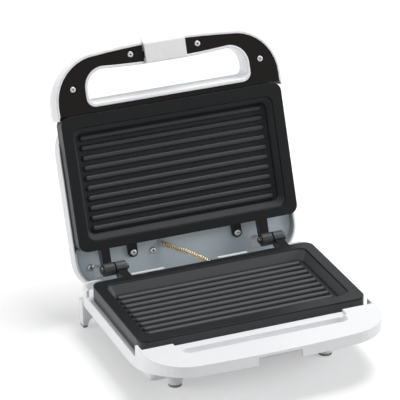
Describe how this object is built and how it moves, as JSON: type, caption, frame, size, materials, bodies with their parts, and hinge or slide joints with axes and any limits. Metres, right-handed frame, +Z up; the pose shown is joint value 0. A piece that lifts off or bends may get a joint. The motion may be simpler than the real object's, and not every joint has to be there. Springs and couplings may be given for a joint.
{
  "type": "sandwich toaster",
  "caption": "Countertop sandwich toaster with a hinged lid, ribbed non-stick plates, a handle with a through hole and a swinging latch clip, stored open.",
  "frame": {"origin": "on the surface that the feet stand on, under the middle of the open toaster's outline", "axes": "+X to the toaster's right as its user faces it, +Y to the hinge at the back, +Z up"},
  "size_m": [0.235, 0.2988, 0.2554],
  "materials": {
    "white_shell": "glossy white moulded plastic",
    "white_clip": "glossy white moulded plastic",
    "coated_plate": "die cast, with a satin charcoal non-stick coating",
    "pale_floor": "satin pale grey",
    "dark_panel": "glossy near-black plastic",
    "heater_sheath": "oxidised tube",
    "reflector_sheet": "bright rolled sheet",
    "steel": "zinc plated",
    "dark_steel": "blackened",
    "rubber": "dark grey rubber",
    "black_plastic": "moulded black",
    "pale_plastic": "moulded cream",
    "wire_sleeve": "glass fibre sleeve",
    "lead_sleeve": "silicone sleeve",
    "spring_brass": "brass plated wire",
    "red_lens": "clear red",
    "green_lens": "clear green",
    "lamp_glass": "clear glass"
  },
  "bodies": {
    "base": {"base_shell": "white_shell", "base_cover": "white_shell", "rear_stand": "white_shell", "lower_plate": "coated_plate", "lower_heater": "heater_sheath", "lower_heater_clamps": "steel", "lower_clamp_screws": "steel", "lower_reflector": "reflector_sheet", "lower_reflector_screws": "steel", "thermostat": "steel", "lower_plate_screws": "steel", "base_cover_screws": "steel", "stand_screws": "steel", "front_foot_pads": "rubber", "rear_foot_pads": "rubber", "hinge_pins": "dark_steel", "hinge_clips": "dark_steel", "cord_gland": "black_plastic", "cord_clamp": "black_plastic", "cord_clamp_screws": "steel", "terminal_block": "pale_plastic", "base_wires": "wire_sleeve", "conduit_bush_low": "black_plastic", "spring_conduit": "spring_brass", "lead_wires": "lead_sleeve"},
    "lid": {"lid_shell": "white_shell", "lid_floor": "pale_floor", "handle_panel": "dark_panel", "panel_screws": "steel", "upper_plate": "coated_plate", "upper_heater": "heater_sheath", "upper_heater_clamps": "steel", "upper_clamp_screws": "steel", "upper_reflector": "reflector_sheet", "upper_reflector_screws": "steel", "lug_screws": "dark_steel", "floor_screws": "steel", "thermal_fuse": "pale_plastic", "conduit_bush_top": "black_plastic", "lid_wires": "wire_sleeve", "power_lens": "red_lens", "ready_lens": "green_lens", "pilot_lamps": "lamp_glass", "lamp_holder": "black_plastic", "latch_pin": "steel"},
    "latch": {"latch_clip": "white_clip"}
  },
  "joints": [
    {"name": "lid_hinge", "type": "hinge", "parent": "base", "child": "lid", "pos_m": [0, 0.05958, 0.057], "axis": [1, 0, 0], "range_deg": [0, 110], "deforming": ["spring_conduit", "lead_wires"]},
    {"name": "latch_swing", "type": "hinge", "parent": "lid", "child": "latch", "pos_m": [0, 0.13375, 0.24763], "axis": [-1, 0, 0], "range_deg": [0, 125]}
  ]
}
